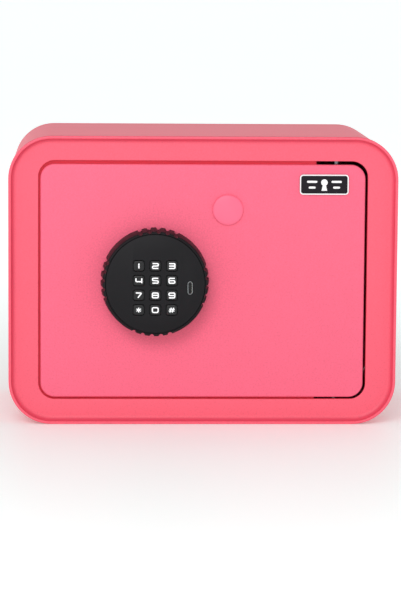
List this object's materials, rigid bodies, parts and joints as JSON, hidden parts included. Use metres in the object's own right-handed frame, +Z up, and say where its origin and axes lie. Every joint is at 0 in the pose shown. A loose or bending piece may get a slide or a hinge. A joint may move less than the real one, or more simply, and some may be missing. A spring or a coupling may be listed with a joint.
{
  "type": "home safe",
  "caption": "Small steel safe with large round corners, a hinged door, and a round turning lock with a push-button keypad.",
  "frame": {"origin": "centre of the underside, on the surface that the safe stands on", "axes": "+X to the right seen from the front, +Y from the front to the back, +Z up"},
  "size_m": [0.27, 0.17, 0.201],
  "materials": {
    "frame_paint": "satin",
    "door_paint": "fine texture",
    "cap_paint": "satin",
    "grip_plastic": "matte",
    "key_plastic": "satin",
    "badge_enamel": "gloss",
    "zinc": "zinc plated",
    "bright_steel": "polished",
    "brass": "satin",
    "cover_plastic": "fine texture",
    "reset_plastic": "gloss",
    "circuit_board": "satin",
    "coil_tape": "gloss",
    "cell_wrap": "gloss",
    "rubber": "matte",
    "felt": "matte"
  },
  "bodies": {
    "case": {"shell": "frame_paint", "back_panel": "frame_paint", "front_frame": "frame_paint", "floor_mat": "felt", "hinge_bracket_top": "zinc", "hinge_bracket_bottom": "zinc", "hinge_pin_top": "zinc", "hinge_pin_bottom": "zinc"},
    "door": {"door_panel": "door_paint", "hinge_lug_top": "zinc", "hinge_lug_bottom": "zinc", "badge_plate": "badge_enamel", "keypad_face": "grip_plastic", "keypad_base": "grip_plastic", "keypad_board": "circuit_board", "dome_mat": "rubber", "charge_socket": "bright_steel", "socket_tongue": "key_plastic", "pod_bracket": "zinc", "pod_nut": "zinc", "solenoid_frame": "zinc", "solenoid_coil": "coil_tape", "lock_barrel": "brass", "lock_nut": "zinc", "inner_cover": "cover_plastic", "cover_screw_1": "zinc", "cover_screw_2": "zinc", "cover_screw_3": "zinc", "cover_screw_4": "zinc", "battery_box": "cover_plastic", "battery_1": "cell_wrap", "battery_2": "cell_wrap", "battery_3": "cell_wrap", "battery_4": "cell_wrap", "control_board": "circuit_board"},
    "grip": {"grip_ring": "grip_plastic", "crank_plate": "zinc"},
    "bolts": {"bolt_carrier": "zinc", "bolt_upper": "bright_steel", "bolt_lower": "bright_steel"},
    "cap": {"lock_cap": "cap_paint"},
    "plug": {"lock_plug": "brass", "lock_cam": "zinc"},
    "reset": {"reset_button": "reset_plastic"},
    "lid": {"battery_lid": "cover_plastic"},
    "plunger": {"solenoid_plunger": "bright_steel", "plunger_spring": "bright_steel"},
    "button_1": {"key_1": "key_plastic"},
    "button_2": {"key_2": "key_plastic"},
    "button_3": {"key_3": "key_plastic"},
    "button_4": {"key_4": "key_plastic"},
    "button_5": {"key_5": "key_plastic"},
    "button_6": {"key_6": "key_plastic"},
    "button_7": {"key_7": "key_plastic"},
    "button_8": {"key_8": "key_plastic"},
    "button_9": {"key_9": "key_plastic"},
    "button_star": {"key_star": "key_plastic"},
    "button_0": {"key_0": "key_plastic"},
    "button_hash": {"key_hash": "key_plastic"}
  },
  "joints": [
    {"name": "door_hinge", "type": "hinge", "parent": "case", "child": "door", "pos_m": [0.0925, -0.0675, 0.09995], "axis": [0, 0, 1], "range_deg": [0, 105]},
    {"name": "grip_turn", "type": "hinge", "parent": "door", "child": "grip", "pos_m": [-0.0335, -0.08, 0.09995], "axis": [0, 1, 0], "range_deg": [-60, 0]},
    {"name": "bolt_slide", "type": "slide", "parent": "door", "child": "bolts", "axis": [1, 0, 0], "range_m": [-0.013, 0]},
    {"name": "key_1_press", "type": "slide", "parent": "door", "child": "button_1", "axis": [0, 1, 0], "range_m": [0, 0.0008], "stiffness_N_per_m": 150},
    {"name": "key_2_press", "type": "slide", "parent": "door", "child": "button_2", "axis": [0, 1, 0], "range_m": [0, 0.0008], "stiffness_N_per_m": 150},
    {"name": "key_3_press", "type": "slide", "parent": "door", "child": "button_3", "axis": [0, 1, 0], "range_m": [0, 0.0008], "stiffness_N_per_m": 150},
    {"name": "key_4_press", "type": "slide", "parent": "door", "child": "button_4", "axis": [0, 1, 0], "range_m": [0, 0.0008], "stiffness_N_per_m": 150},
    {"name": "key_5_press", "type": "slide", "parent": "door", "child": "button_5", "axis": [0, 1, 0], "range_m": [0, 0.0008], "stiffness_N_per_m": 150},
    {"name": "key_6_press", "type": "slide", "parent": "door", "child": "button_6", "axis": [0, 1, 0], "range_m": [0, 0.0008], "stiffness_N_per_m": 150},
    {"name": "key_7_press", "type": "slide", "parent": "door", "child": "button_7", "axis": [0, 1, 0], "range_m": [0, 0.0008], "stiffness_N_per_m": 150},
    {"name": "key_8_press", "type": "slide", "parent": "door", "child": "button_8", "axis": [0, 1, 0], "range_m": [0, 0.0008], "stiffness_N_per_m": 150},
    {"name": "key_9_press", "type": "slide", "parent": "door", "child": "button_9", "axis": [0, 1, 0], "range_m": [0, 0.0008], "stiffness_N_per_m": 150},
    {"name": "key_star_press", "type": "slide", "parent": "door", "child": "button_star", "axis": [0, 1, 0], "range_m": [0, 0.0008], "stiffness_N_per_m": 150},
    {"name": "key_0_press", "type": "slide", "parent": "door", "child": "button_0", "axis": [0, 1, 0], "range_m": [0, 0.0008], "stiffness_N_per_m": 150},
    {"name": "key_hash_press", "type": "slide", "parent": "door", "child": "button_hash", "axis": [0, 1, 0], "range_m": [0, 0.0008], "stiffness_N_per_m": 150},
    {"name": "cap_pull", "type": "slide", "parent": "door", "child": "cap", "axis": [0, -1, 0], "range_m": [0, 0.012]},
    {"name": "key_turn", "type": "hinge", "parent": "door", "child": "plug", "pos_m": [0.017, -0.06, 0.14985], "axis": [0, 1, 0], "range_deg": [0, 90]},
    {"name": "reset_press", "type": "slide", "parent": "door", "child": "reset", "axis": [0, -1, 0], "range_m": [0, 0.0015], "stiffness_N_per_m": 150},
    {"name": "lid_slide", "type": "slide", "parent": "door", "child": "lid", "axis": [0, 0, 1], "range_m": [0, 0.012]},
    {"name": "plunger_slide", "type": "slide", "parent": "door", "child": "plunger", "axis": [0, 0, -1], "range_m": [0, 0.004], "stiffness_N_per_m": 50, "springref_m": -0.002, "deforming": ["plunger_spring"]}
  ],
  "couplings": [
    {"joint": "grip_turn", "follows": "bolt_slide", "rad_per_m": 80.55}
  ]
}
